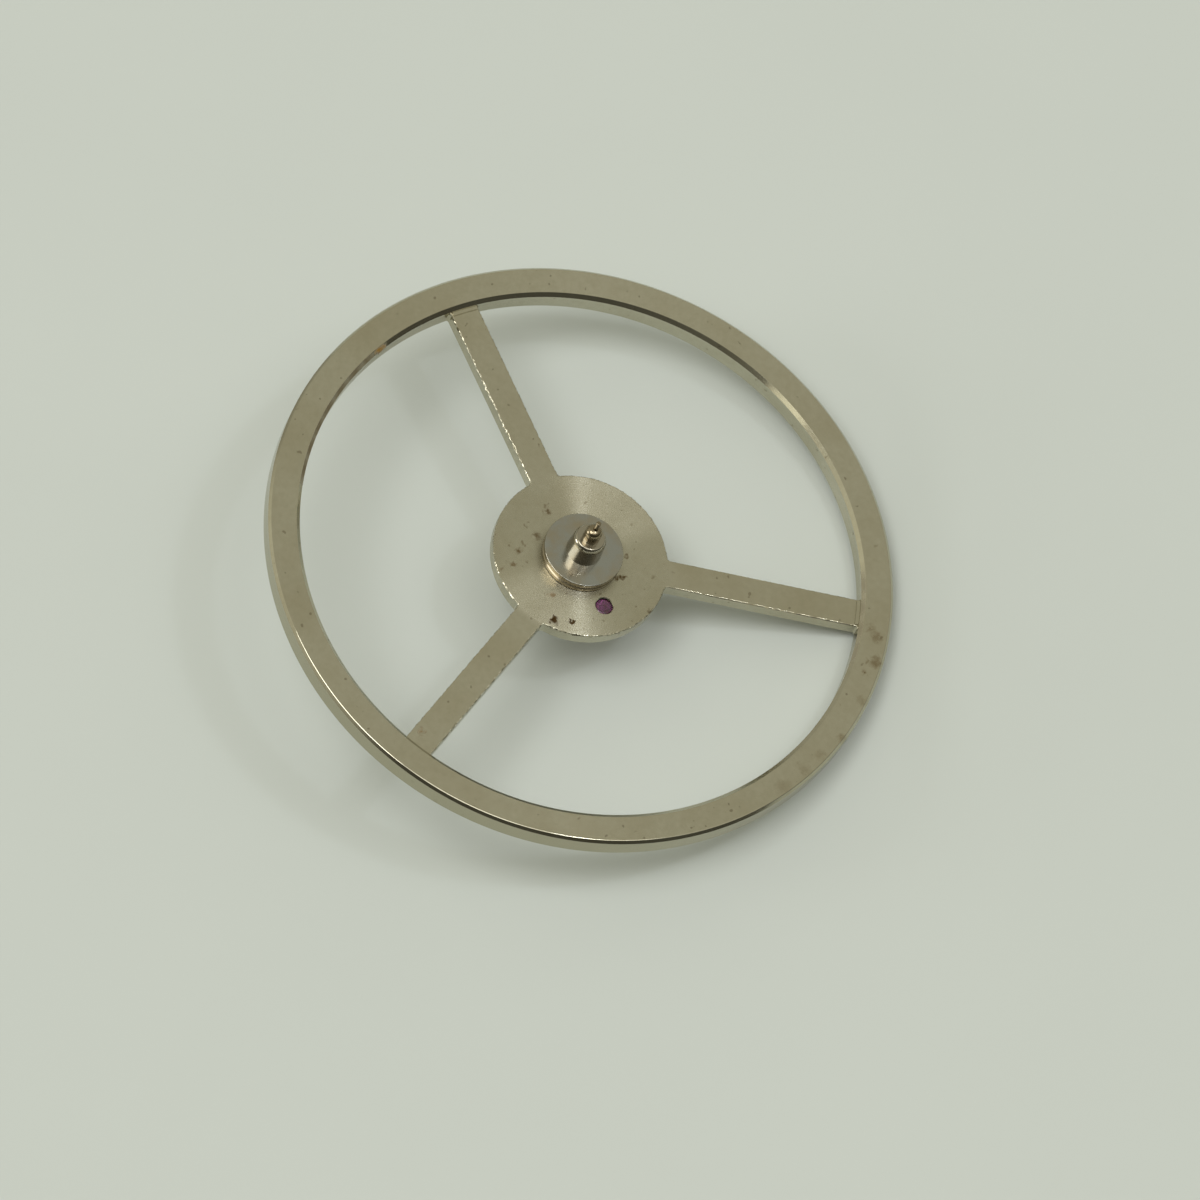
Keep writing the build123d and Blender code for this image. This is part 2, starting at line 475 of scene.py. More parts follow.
wheel = rim
carve(wheel, plate, "UNION")
tool_bottom, tool_top = web_bottom - tool_overrun, web_top + tool_overrun
hole_radius = jewel_radius + jewel_clearance
carve(wheel, rod("bore", wheel_seat_radius, tool_bottom, tool_top, bore_steps))
carve(wheel, rod("jewel_hole", hole_radius, tool_bottom, tool_top, pin_steps, jewel_x, jewel_y))
sink(wheel, jewel_radius + jewel_hole_break, funnel_slope, jewel_x, jewel_y)
for orbit, angle, radius in dimples:
    sink(wheel, radius, dimple_slope, orbit * cos(radians(angle)), orbit * sin(radians(angle)))
seat(wheel, "wheel", "balance_wheel")

# %% [markdown]
# ## Turning a round piece
# The staff, the pin and the roller are all turned. A filled circle is the start. It is drawn
# up from one height to the next and scaled to each new radius, like a potter's pull, so the
# piece grows ring by ring. Edges that a lathe would break are bevelled afterwards, where
# they lie.

# %% Helpers for turned pieces
def turn_up(name, segments, rings):
    """Grows a closed round solid through rings of (radius, height), from the bottom up."""
    bpy.ops.object.select_all(action="DESELECT")
    radius, height = rings[0]
    bpy.ops.mesh.primitive_circle_add(
        vertices=segments, radius=radius, fill_type="NGON", location=(0, 0, height)
    )
    piece = bpy.context.object
    piece.name = name
    bpy.ops.object.transform_apply(location=True, rotation=True, scale=True)
    with editing(piece, "FACE", everything):
        for new_radius, new_height in rings[1:]:
            rise = (0, 0, new_height - height)
            bpy.ops.mesh.extrude_region_move(TRANSFORM_OT_translate={"value": rise})
            grow = new_radius / radius
            bpy.ops.transform.resize(value=(grow, grow, 1), center_override=(0, 0, new_height))
            radius, height = new_radius, new_height
        bpy.ops.mesh.select_all(action="SELECT")
        bpy.ops.mesh.normals_make_consistent(inside=False)
    return piece


def break_edge(piece, radius, height, size, segments):
    """Bevels the round edge of a piece at one radius and height."""

    def on_ring(edge):
        places = [vertex.co for vertex in edge.verts]
        level = all(abs(place.z - height) < tiny for place in places)
        return level and all(abs(place.xy.length - radius) < tiny for place in places)

    with editing(piece, "EDGE", on_ring) as found:
        bpy.ops.mesh.bevel(offset=size, segments=segments, clamp_overlap=False)
    return found


print("helpers made:", turn_up.__name__, break_edge.__name__)

# %% [markdown]
# ## The staff
# The staff is the balance's axle, hardened steel turned and polished in one piece. From the
# bottom up it has a pivot, a rounded shoulder, the roller's seat, the arbor, the riveted
# seat of the wheel, the broad flange on the hub, the seat for the hairspring's collet, and
# the upper shoulder and pivot. The collet seat is a little wider at its foot. The flange's
# lower edge is broken and a thin groove is cut round it, so that its side shows two bands.

# %% Sizes of the staff
pivot_radius = 0.04
pivot_length = 0.21
pivot_tip_round = 0.015
shoulder_length = 0.13
shoulder_bulge_share = 0.24
shank_radius = 0.1325
shank_root_radius = 0.1375
lower_shank_length = 0.12
upper_shank_length = 0.14
roller_seat_foot_radius = 0.175
roller_seat_radius = 0.18
arbor_foot_radius = 0.23
arbor_radius = 0.28
rivet_height = 0.07
rivet_radius = 0.48
collet_seat_radius = 0.262
collet_seat_foot_radius = 0.285
collet_seat_length = 0.42
collet_seat_round_height = 0.10
collet_seat_top_radius = 0.205
flange_groove_depth = 0.026
flange_groove_width = 0.046
flange_foot_break = 0.022
flange_edge_break = 0.012
collet_seat_edge_break = 0.010
roller_seat_edge_break = 0.02
arbor_edge_break = 0.01
flange_radius = staff_high.x
staff_top = staff_high.z
staff_steps = 256
print("the staff is", round(staff_top, 3), "long and", round(2 * flange_radius, 3), "wide")

# %% [markdown]
# ## The two ends of the staff
# Both ends are alike: a thin pivot with a rounded tip, a bulging shoulder and a shank. The
# tip is a quarter circle, and the shoulder is a straight cone that swells out by an arc. A
# few rings follow each curve. One function works out the rings of an end with its tip down,
# and the upper end is the same list turned over.

# %% Rings of the two ends
tip_steps = 4
shoulder_steps = 8


def pivot_end(shank_length):
    """Rings of one end of the staff, tip down: pivot, bulging shoulder and shank."""
    quarter = [radians(90 * step / tip_steps) for step in range(tip_steps + 1)]
    flat = pivot_radius - pivot_tip_round
    tip = [(flat + pivot_tip_round * sin(turn), pivot_tip_round * (1 - cos(turn))) for turn in quarter]
    rise, run = shoulder_length, shank_radius - pivot_radius
    chord = sqrt(rise**2 + run**2)
    shoulder = []
    for step in range(shoulder_steps + 1):
        share = step / shoulder_steps
        bulge = 4 * shoulder_bulge_share * chord * share * (1 - share)
        radius = pivot_radius + share * run + bulge * rise / chord
        height = pivot_length + share * rise - bulge * run / chord
        shoulder.append((radius, height))
    end = shoulder_length + pivot_length + shank_length
    return tip + shoulder + [(shank_root_radius, end)]


lower_end = pivot_end(lower_shank_length)
upper_end = [(radius, staff_top - height) for radius, height in reversed(pivot_end(upper_shank_length))]
seat_bottom = lower_end[-1][1]
collet_top = upper_end[0][1]
print("the ends reach up to", round(seat_bottom, 3), "and down to", round(collet_top, 3))

# %% [markdown]
# ## Turning the staff
# The middle of the staff is a list of plain steps, from the roller's seat up to the collet
# seat, whose top is rounded by a few more rings. The whole list is drawn up in one pull,
# and the edges that a lathe would break are bevelled afterwards.

# %% Turn the staff
seat_round_steps = 5

flange_top = collet_top - collet_seat_length
groove_middle = (web_top + flange_top) / 2
quarter_turns = [radians(90 * step / seat_round_steps) for step in range(seat_round_steps + 1)]
seat_round = [
    (
        collet_seat_top_radius + (collet_seat_radius - collet_seat_top_radius) * cos(turn),
        collet_top - collet_seat_round_height * (1 - sin(turn)),
    )
    for turn in quarter_turns
]
middle = [
    (roller_seat_foot_radius, seat_bottom),
    (roller_seat_radius, roller_high.z),
    (arbor_foot_radius, roller_high.z),
    (arbor_radius, web_bottom - rivet_height),
    (wheel_seat_radius, web_bottom - rivet_height),
    (rivet_radius, web_bottom),
    (wheel_seat_radius, web_bottom),
    (wheel_seat_radius, web_top),
    (flange_radius - flange_foot_break, web_top),
    (flange_radius, web_top + flange_foot_break),
    (flange_radius, groove_middle - flange_groove_width / 2),
    (flange_radius - flange_groove_depth, groove_middle - flange_groove_width / 8),
    (flange_radius - flange_groove_depth, groove_middle + flange_groove_width / 8),
    (flange_radius, groove_middle + flange_groove_width / 2),
    (flange_radius, flange_top),
    (collet_seat_foot_radius, flange_top),
    *seat_round,
]
staff = turn_up("staff", staff_steps, lower_end + middle + upper_end)
for radius, height, size, segments in (
    (flange_radius, flange_top, flange_edge_break, 4),
    (collet_seat_top_radius, collet_top, collet_seat_edge_break, 2),
    (roller_seat_foot_radius, seat_bottom, roller_seat_edge_break, 2),
    (arbor_foot_radius, roller_high.z, arbor_edge_break, 2),
):
    found = break_edge(staff, radius, height, size, segments)
    print("edge at radius", round(radius, 3), "and height", round(height, 3), "broken:", found)
seat(staff, "staff", "balance_staff")

# %% [markdown]
# ## The ruby pin
# The impulse jewel is a rod of synthetic ruby with polished ends, pressed into its hole in
# the hub. It stands far out below the hub, where the pallet fork strikes it. A filled circle
# is drawn up into the rod, both ends get a rounded edge, and the rod is moved to its hole.

# %% Turn and place the ruby pin
jewel_edge_break = 0.03

jewel = turn_up("jewel", pin_steps, [(jewel_radius, jewel_low.z), (jewel_radius, jewel_high.z)])
for height in (jewel_low.z, jewel_high.z):
    break_edge(jewel, jewel_radius, height, jewel_edge_break, 4)
with editing(jewel, "VERT", everything):
    bpy.ops.transform.translate(value=(jewel_x, jewel_y, 0))
seat(jewel, "ruby_pin", "impulse_jewel")

# %% [markdown]
# ## The safety roller
# The roller is a small steel disc under the hub. It keeps the lever from slipping over when
# the watch is knocked, and the crescent cut in its edge, in line with the ruby pin, lets the
# lever's guard pin through. The disc is turned, cut with a cylinder, and bored to fit the
# seat's slight taper.

# %% Turn the roller and cut its crescent
roller_radius = roller_high.y
roller_edge_break = 0.02
crescent_radius = 0.14
crescent_depth = 0.10
roller_steps = 192
pin_angle = atan2(jewel_y, jewel_x)
tool_bottom, tool_top = roller_low.z - tool_overrun, roller_high.z + tool_overrun

roller_rings = [(roller_radius, roller_low.z), (roller_radius, roller_high.z)]
roller = turn_up("roller", roller_steps, roller_rings)
for height in (roller_low.z, roller_high.z):
    break_edge(roller, roller_radius, height, roller_edge_break, 3)
orbit = roller_radius + crescent_radius - crescent_depth
x, y = orbit * cos(pin_angle), orbit * sin(pin_angle)
carve(roller, rod("crescent", crescent_radius, tool_bottom, tool_top, pin_steps, x, y))


def seat_radius_at(height):
    """The tapered seat's radius at one height, which the roller's bore shares."""
    share = (height - seat_bottom) / (roller_high.z - seat_bottom)
    return roller_seat_foot_radius + share * (roller_seat_radius - roller_seat_foot_radius)


bore_rings = [(seat_radius_at(height), height) for height in (tool_bottom, tool_top)]
carve(roller, turn_up("roller_bore", staff_steps, bore_rings))
seat(roller, "roller", "safety_roller")

# %% [markdown]
# ## Node helpers
# Materials are node graphs. A few helpers keep the lesson short. `add_node` adds a node,
# sets its values and joins its inputs, and `reckon` does that for one sum. `new_group`
# starts a node group with named sockets, and `place_group` puts it into a material. A group
# holds an effect that several materials share, and puts out only masks, heights and
# distances. The shader itself stays in the material. `dress` gives a piece its material.

# %% Helpers for node graphs
def add_node(tree, kind, settings=None, **inputs):
    """Adds a node, applies its settings and fills or joins its inputs by name or number."""
    node = tree.nodes.new(kind)
    for key, value in (settings or {}).items():
        setattr(node, key, value)
    for key, value in inputs.items():
        place = int(key[1:]) if key[1:].isdigit() else key.replace("_", " ")
        if isinstance(value, bpy.types.NodeSocket):
            tree.links.new(value, node.inputs[place])
        else:
            node.inputs[place].default_value = value
    return node


def reckon(tree, operation, first, second):
    """A Math node on two values or sockets, and its output."""
    node = add_node(tree, "ShaderNodeMath", {"operation": operation}, i0=first, i1=second)
    return node.outputs[0]


def new_group(name, inputs, outputs):
    """Starts a node group with the named sockets, and returns it with its two end nodes."""
    tree = bpy.data.node_groups.new(name, "ShaderNodeTree")
    for label, kind, value in inputs:
        socket = tree.interface.new_socket(name=label, in_out="INPUT", socket_type="NodeSocket" + kind)
        if value is not None:
            socket.default_value = value
    for label, kind in outputs:
        tree.interface.new_socket(name=label, in_out="OUTPUT", socket_type="NodeSocket" + kind)
    return tree, tree.nodes.new("NodeGroupInput").outputs, tree.nodes.new("NodeGroupOutput").inputs


def place_group(tree, group, **inputs):
    """Places a node group in a material, and returns its outputs."""
    return add_node(tree, "ShaderNodeGroup", {"node_tree": group}, **inputs).outputs


def dress(piece, material):
    """Gives a piece one material, in place of any that it had."""
    piece.data.materials.clear()
    piece.data.materials.append(material)
    print(piece.name, "wears", material.name)


print("helpers made:", add_node.__name__, reckon.__name__, new_group.__name__, place_group.__name__)

# %% [markdown]
# ## Turning marks
# Everything here was cut on a lathe, so the faces carry fine rings about the axis. The rings
# depend only on the distance from the axis, so a one-dimensional noise of that distance
# draws them. Fine and coarse rings are mixed, because a tool leaves both. The group puts out
# a height for the bump, a slow shade that makes some rings a little lighter, and the
# distance itself, with which a material can treat the hub and the rim differently.

# %% Group for turning marks
turning, given, result = new_group(
    "turning marks",
    [("Place", "Vector", None), ("Fine rings", "Float", 60.0), ("Coarse rings", "Float", 12.0)],
    [("Height", "Float"), ("Shade", "Float"), ("Distance", "Float")],
)
parts = add_node(turning, "ShaderNodeSeparateXYZ", Vector=given["Place"]).outputs
squares = [reckon(turning, "MULTIPLY", parts[axis], parts[axis]) for axis in "XY"]
distance = reckon(turning, "SQRT", reckon(turning, "ADD", *squares), 0.0)
ring_noises = []
for density in ("Fine rings", "Coarse rings"):
    where = reckon(turning, "MULTIPLY", distance, given[density])
    noise = add_node(
        turning, "ShaderNodeTexNoise", {"noise_dimensions": "1D"}, W=where, Scale=1.0, Detail=2.0
    )
    ring_noises.append(noise.outputs[0])
fine, coarse = ring_noises
turning.links.new(reckon(turning, "ADD", fine, coarse), result["Height"])
turning.links.new(coarse, result["Shade"])
turning.links.new(distance, result["Distance"])
print("group made:", turning.name)

# %% [markdown]
# ## Grain and tarnish
# Nickel silver that has lain in a drawer isn't even: it has a fine grain from the stoning of
# its faces, soft clouds of yellowish tarnish, and tiny dark specks. Three noises of very
# different sizes make them. The specks are only the highest peaks of a noise, cut off
# sharply, so they stay few.

# %% Group for grain, tarnish and specks
speck_edge = 0.04

tarnish, given, result = new_group(
    "grain and tarnish",
    [
        ("Place", "Vector", None),
        ("Grain", "Float", 45.0),
        ("Clouds", "Float", 0.9),
        ("Specks", "Float", 9.0),
        ("Speck share", "Float", 0.72),
    ],
    [("Grain", "Float"), ("Clouds", "Float"), ("Specks", "Float")],
)
# output, detail of its noise, and the noise levels at which its mask starts and is full
for label, detail, low, high in (
    ("Grain", 3.0, 0.25, 0.75),
    ("Clouds", 4.0, 0.40, 0.72),
    ("Specks", 1.0, None, None),
):
    noise = add_node(
        tarnish, "ShaderNodeTexNoise", None, Vector=given["Place"], Scale=given[label], Detail=detail
    )
    level = noise.outputs[0]
    start = given["Speck share"] if low is None else low
    end = reckon(tarnish, "ADD", given["Speck share"], speck_edge) if high is None else high
    mask = add_node(tarnish, "ShaderNodeMapRange", None, Value=level, From_Min=start, From_Max=end)
    tarnish.links.new(mask.outputs[0], result[label])
print("group made:", tarnish.name)

# %% [markdown]
# ## Stains and painted shade at known places
# The photograph also shows marks that belong to this one wheel: a dozen brown spots round the staff, rusty
# ones on the rim beside one arm, dark pits, and an orange stain on the rim's inner edge. The same kind of
# mark also paints shade: a dark spot at the end of the lower-left arm, and a dark brown stretch along the
# inner chamfer. A small group turns one place into a soft mask. A noise first shifts the place a little, so
# that the spot gets a ragged outline.

# %% Group for one soft spot
wobble_scale = 14.0
wobble_reach = 0.22
spot_reach_share = 1.3

soft_spot, given, result = new_group(
    "soft_spot",
    [
        ("Place", "Vector", None),
        ("Centre", "Vector", (0, 0, 0)),
        ("Size", "Float", 0.05),
        ("Strength", "Float", 1.0),
    ],
    [("Mask", "Float")],
)
wobble = add_node(soft_spot, "ShaderNodeTexNoise", None, Vector=given["Place"], Scale=wobble_scale, Detail=3.0)
centred = add_node(
    soft_spot, "ShaderNodeVectorMath", {"operation": "SUBTRACT"}, i0=wobble.outputs[1], i1=(0.5, 0.5, 0.5)
)
shift = add_node(
    soft_spot,
    "ShaderNodeVectorMath",
    {"operation": "MULTIPLY"},
    i0=centred.outputs[0],
    i1=(wobble_reach, wobble_reach, 0),
)
shifted = add_node(soft_spot, "ShaderNodeVectorMath", None, i0=given["Place"], i1=shift.outputs[0])
gap = add_node(
    soft_spot, "ShaderNodeVectorMath", {"operation": "DISTANCE"}, i0=shifted.outputs[0], i1=given["Centre"]
)
mask = add_node(
    soft_spot,
    "ShaderNodeMapRange",
    {"interpolation_type": "SMOOTHSTEP"},
    Value=gap.outputs["Value"],
    From_Min=reckon(soft_spot, "MULTIPLY", given["Size"], spot_reach_share),
    From_Max=0.0,
)
strong = reckon(soft_spot, "MULTIPLY", mask.outputs[0], given["Strength"])
soft_spot.links.new(strong, result["Mask"])
print("group made:", soft_spot.name)

# %% [markdown]
# ## Starting a metal
# Each metal begins the same way: Object coordinates, which a Mapping node turns from metres
# into millimetres, and a Principled shader whose metallic value is one. Numbers that are the
# same all over, such as the anisotropy, are set on the shader itself. The anisotropy is
# turned by a quarter, because a surface cut in rings throws the light across the rings. Two
# more helpers blend colours and values by a mask.

# %% Start a metal
quarter_turn = 0.25


def start_material(name):
    """A material with its shader, and with the place on the piece in millimetres."""
    material = bpy.data.materials.new(name)
    material.use_nodes = True
    tree = material.node_tree
    shader = tree.nodes["Principled BSDF"]
    coordinates = add_node(tree, "ShaderNodeTexCoord").outputs["Object"]
    scaled = add_node(tree, "ShaderNodeMapping", None, Vector=coordinates, Scale=(1 / MM,) * 3)
    return material, tree, shader, scaled.outputs[0]


def start_metal(name, anisotropy):
    """A material that is metal all over and was cut in rings."""
    material, tree, shader, place = start_material(name)
    shader.inputs["Metallic"].default_value = 1.0
    shader.inputs["Anisotropic"].default_value = anisotropy
    shader.inputs["Anisotropic Rotation"].default_value = quarter_turn
    return material, tree, shader, place


def mix_colours(tree, mask, first, second):
    """Blends two colours by a mask."""
    node = add_node(tree, "ShaderNodeMix", {"data_type": "RGBA"}, Factor=mask)
    for number, value in ((6, first), (7, second)):
        if isinstance(value, bpy.types.NodeSocket):
            tree.links.new(value, node.inputs[number])
        else:
            node.inputs[number].default_value = (*value, 1)
    return node.outputs[2]


def blend_values(tree, mask, first, second):
    """Maps a mask from 0 and 1 to two values or sockets."""
    node = add_node(tree, "ShaderNodeMapRange", None, Value=mask, To_Min=first, To_Max=second)
    return node.outputs[0]


print("helpers made:", start_metal.__name__, mix_colours.__name__, blend_values.__name__)

# %% [markdown]
# ## Nickel silver
# The wheel's alloy is a pale brass with an olive cast. The rim's faces are stoned smooth and its chamfers
# are polished. The hub was only faced on the lathe, so it is rougher. Pits, rust and the painted shade on
# the inner chamfer are dull and barely gloss at all. Among the colours are painted shades for the outer
# wall and the inner chamfer. These are the colours and the roughness of each, before anything is mixed.

# %% Colours and roughness of the wheel
alloy_colour = (0.53, 0.505, 0.395)
tarnished_colour = (0.48, 0.445, 0.33)
# colour of the stains and of the painted shade at the lower-left arm's end
stain_and_shade_colour = (0.20, 0.125, 0.045)
# the outer wall's darker colour is painted shade
shaded_side_colour = (0.43, 0.40, 0.29)
# colour of the painted shade along the inner chamfer
edge_shade_colour = (0.12, 0.085, 0.035)
pit_colour = (0.065, 0.038, 0.012)
rust_colour = (0.30, 0.165, 0.035)
mottled_colour = (0.40, 0.37, 0.26)
speck_colour = (0.24, 0.20, 0.13)
rim_roughness = 0.12
hub_roughness = 0.25
chamfer_roughness = 0.08
web_edge_roughness = 0.20
# roughness of pits, rust and the painted chamfer shade
dull_roughness = 0.6
dirt_gloss = 0.1
wheel_anisotropy = 0.95
print("roughness of rim and hub:", rim_roughness, hub_roughness)

# %% [markdown]
# ## Where the wheel is stained and painted with shade
# Each mark has its distance from the axis, its angle, its size and its strength. The places of the single
# marks were worked out, through the camera, from where they are seen in the photograph. Sizes and strengths
# were set one by one. The brown stretches of the inner edge are rows of large faint marks. One function
# turns a list into one mask, by taking the strongest mark at each place.

# %% Places of the stains and the painted shades
# the last two marks, at the end of the lower-left arm, are painted shade in its corner; the rest are stains
hub_stains_and_arm_shade = [
    (0.965, -139.2, 0.040, 0.5), (0.867, -136.5, 0.060, 0.8), (0.968, -109.6, 0.030, 0.5),
    (0.752, -104.6, 0.070, 0.7), (0.906, -89.9, 0.035, 0.6), (1.148, -85.8, 0.035, 0.5),
    (1.001, -81.7, 0.060, 0.9), (1.127, -69.1, 0.055, 0.8), (1.333, -66.9, 0.040, 0.6),
    (0.885, -69.5, 0.030, 0.4), (0.874, -26.6, 0.050, 0.8), (0.723, 72.2, 0.055, 1.0),
    (0.663, 66.3, 0.045, 1.0), (0.746, 103.1, 0.045, 0.7), (1.177, 84.6, 0.040, 0.6),
    (1.406, 58.8, 0.040, 0.5), (4.226, -31.3, 0.070, 0.8), (4.335, -26.5, 0.060, 0.9),
]
pits = [(1.256, -14.6, 0.085, 1.8), (1.173, -2.0, 0.065, 1.6), (4.755, 76.9, 0.050, 1.2)]
rim_stains = [
    (4.690, 86.6, 0.080, 0.5), (4.785, 85.1, 0.110, 0.5), (4.877, 80.0, 0.120, 0.6),
    (4.733, 79.3, 0.045, 0.5), (4.755, 76.9, 0.055, 0.7), (4.784, 104.5, 0.040, 0.4),
    (4.952, 62.5, 0.100, 0.4), (4.899, 71.3, 0.080, 0.3), (4.841, 56.9, 0.090, 0.25),
    (4.858, 46.5, 0.160, 0.25), (4.859, 52.3, 0.120, 0.25), (4.704, 52.3, 0.070, 0.2),
]
rust_spots = [(4.520, -128.9, 0.110, 1.0), (4.520, -129.9, 0.070, 0.8)]
# these rows are painted shade: they darken the inner chamfer
painted_edge_shade = [(4.520, angle, 0.36, 0.8) for angle in (-96, -101, -106, -111, -116, -121)]
painted_edge_shade += [(4.520, -125.0, 0.22, 0.8)]
painted_edge_shade += [(4.520, angle, 0.34, 0.45) for angle in (96, 91, 86, 81)]


def spot_masks(tree, place, spot_list, height):
    """One mask for a whole list of spots, stains and painted shades alike, that lie at one height."""
    total = 0.0
    for orbit, angle, size, strength in spot_list:
        centre = (orbit * cos(radians(angle)), orbit * sin(radians(angle)), height)
        one = place_group(tree, soft_spot, Place=place, Centre=centre, Size=size, Strength=strength)
        total = reckon(tree, "MAXIMUM", total, one["Mask"])
    return total


print("stains on hub and rim:", len(hub_stains_and_arm_shade), len(rim_stains), "and pits:", len(pits))

# %% [markdown]
# ## Masks on the wheel
# A mask says where a colour or a roughness holds. The stains and the painted shades are one kind. The other
# kind tells the parts of the wheel apart by plain facts of place: the hub and the arms by their distance
# from the axis, the chamfers and walls by their height. A mask starts a hair's breadth off a face, so that
# the face itself isn't caught.

# %% Masks on the wheel
hair = 0.002
hub_fade = 0.1
chamfer_foot = 0.03
mottle_scale = 11.0

alloy, tree, shader, place = start_metal("nickel silver", wheel_anisotropy)
shader.inputs["Specular IOR Level"].default_value = dirt_gloss
rings = place_group(tree, turning, Place=place, Fine_rings=26.0, Coarse_rings=9.0)
marks = place_group(tree, tarnish, Place=place)
stains_and_arm_shade = reckon(
    tree,
    "MAXIMUM",
    spot_masks(tree, place, hub_stains_and_arm_shade, web_top),
    spot_masks(tree, place, rim_stains, rim_top),
)
rusty = spot_masks(tree, place, rust_spots, rim_top - rim_inner_chamfer / 2)
# painted shade along the inner chamfer
edge_shade = spot_masks(tree, place, painted_edge_shade, rim_top - rim_inner_chamfer / 2)
mottle_noise = add_node(tree, "ShaderNodeTexNoise", None, Vector=place, Scale=mottle_scale, Detail=4.0)
mottle = mottle_noise.outputs[0]
on_hub = add_node(
    tree,
    "ShaderNodeMapRange",
    None,
    Value=rings["Distance"],
    From_Min=hub_radius + hub_fade,
    From_Max=hub_radius,
).outputs[0]
height = add_node(tree, "ShaderNodeSeparateXYZ", Vector=place).outputs["Z"]
below_top = reckon(tree, "LESS_THAN", height, rim_top - hair)
above_web = reckon(tree, "GREATER_THAN", height, web_top + chamfer_foot)
on_chamfer = reckon(tree, "MULTIPLY", below_top, above_web)
on_web_edge = reckon(tree, "LESS_THAN", height, web_top - hair / 2)
in_arms = reckon(tree, "LESS_THAN", rings["Distance"], rim_inner_radius)
on_web_edge = reckon(tree, "MULTIPLY", on_web_edge, in_arms)
outside = reckon(tree, "GREATER_THAN", rings["Distance"], rim_radius - hair)
above_foot = reckon(tree, "GREATER_THAN", height, rim_top - rim_inner_chamfer)
edge_only = reckon(tree, "MULTIPLY", below_top, above_foot)
rusty = reckon(tree, "MULTIPLY", rusty, below_top)
edge_shade = reckon(tree, "MULTIPLY", edge_shade, edge_only)
pitted = spot_masks(tree, place, pits, web_top)
# pits and rust, together with the painted shade on the inner chamfer
pits_rust_and_edge_shade = reckon(tree, "MAXIMUM", pitted, reckon(tree, "MAXIMUM", rusty, edge_shade))
print("nodes in the masks:", len(tree.nodes))

# %% [markdown]
# ## The wheel's colour
# The colour is laid on in coats, like paint. The tarnish pulls the alloy towards yellow, a fine mottle
# darkens it here and there, painted shade makes the outer wall a little darker, and specks, stains, painted
# shade along the inner chamfer, pits and rust go on top. Among the stains is a spot of painted shade at the
# end of the lower-left arm. Pits, rust and the painted chamfer shade aren't metal at all, so there the
# metallic value falls to nothing.

# %% The wheel's colour
mottle_low = -0.2
mottle_high = 0.5
speck_strength = 0.6
side_shade_strength = 0.8

mottled = blend_values(tree, mottle, mottle_low, mottle_high)
specked = reckon(tree, "MULTIPLY", marks["Specks"], speck_strength)
# painted shade: the outer wall is painted darker
painted_side_shade = reckon(tree, "MULTIPLY", outside, side_shade_strength)
colour = mix_colours(tree, marks["Clouds"], alloy_colour, tarnished_colour)
colour = mix_colours(tree, mottled, colour, mottled_colour)
colour = mix_colours(tree, specked, colour, speck_colour)
colour = mix_colours(tree, painted_side_shade, colour, shaded_side_colour)
# stains, with painted shade at the end of the lower-left arm
colour = mix_colours(tree, stains_and_arm_shade, colour, stain_and_shade_colour)
# painted shade along the inner chamfer
colour = mix_colours(tree, edge_shade, colour, edge_shade_colour)
colour = mix_colours(tree, pitted, colour, pit_colour)
colour = mix_colours(tree, rusty, colour, rust_colour)
tree.links.new(colour, shader.inputs["Base Color"])
tree.links.new(blend_values(tree, pits_rust_and_edge_shade, 1.0, 0.0), shader.inputs["Metallic"])
print("the alloy's colour:", alloy_colour)

# %% [markdown]
# ## The wheel's shine and relief
# A stain makes the metal duller, and the grain makes it uneven. The hub is rougher than the
# rim and keeps its tool rings, which are almost stoned away on the rim. Since the shine is
# stretched across the rings, the hub alone shows the bright fan of light.

# %% The wheel's shine and relief
spot_dullness = 0.3
grain_dullness_low = -0.02
grain_dullness_high = 0.04
ring_relief_on_rim = 0.15
ring_relief_on_hub = 1.0
grain_relief = 0.02
relief_depth = 0.0005

dullness = reckon(tree, "MULTIPLY", stains_and_arm_shade, spot_dullness)
uneven = blend_values(tree, marks["Grain"], grain_dullness_low, grain_dullness_high)
dullness = reckon(tree, "ADD", dullness, uneven)
roughness = reckon(tree, "ADD", blend_values(tree, on_hub, rim_roughness, hub_roughness), dullness)
roughness = blend_values(tree, on_chamfer, roughness, chamfer_roughness)
roughness = blend_values(tree, on_web_edge, roughness, web_edge_roughness)
roughness = blend_values(tree, pits_rust_and_edge_shade, roughness, dull_roughness)
tree.links.new(roughness, shader.inputs["Roughness"])
ring_relief = blend_values(tree, on_hub, ring_relief_on_rim, ring_relief_on_hub)
ring_height = reckon(tree, "MULTIPLY", rings["Height"], ring_relief)
grain_height = reckon(tree, "MULTIPLY", marks["Grain"], grain_relief)
relief = reckon(tree, "ADD", ring_height, grain_height)
bump = add_node(tree, "ShaderNodeBump", None, Strength=1.0, Distance=relief_depth * MM, Height=relief)
tree.links.new(bump.outputs[0], shader.inputs["Normal"])
dress(wheel, alloy)

# %% [markdown]
# ## Polished steel
# Staff and roller are hardened steel. The staff's faces are polished like a mirror, with faint rings left
# from the polishing tool. The roller is a little lighter and less polished. Old oil has left a thin brown
# film, which a soft noise spreads. The same warm colour is painted on the upright faces above the flange as
# a reflection, and the shoulder and everything below the flange's top are painted darker as shade, while
# the flange's top face stays clean. The roller lies wholly below the flange, so the darker colour covers
# all of it.

# %% The steels of the staff and the roller
steel_anisotropy = 0.5
film_in_clouds = 0.6
# share of the painted warm reflection on the upright faces
side_reflection_share = 0.45
# strength of the painted shade on the shoulder and below the flange's top
painted_shade_strength = 0.8
# the painted shade starts this far below the flange's top
clean_flange_band = 0.013
shoulder_start = 0.05
ring_strength = 0.2


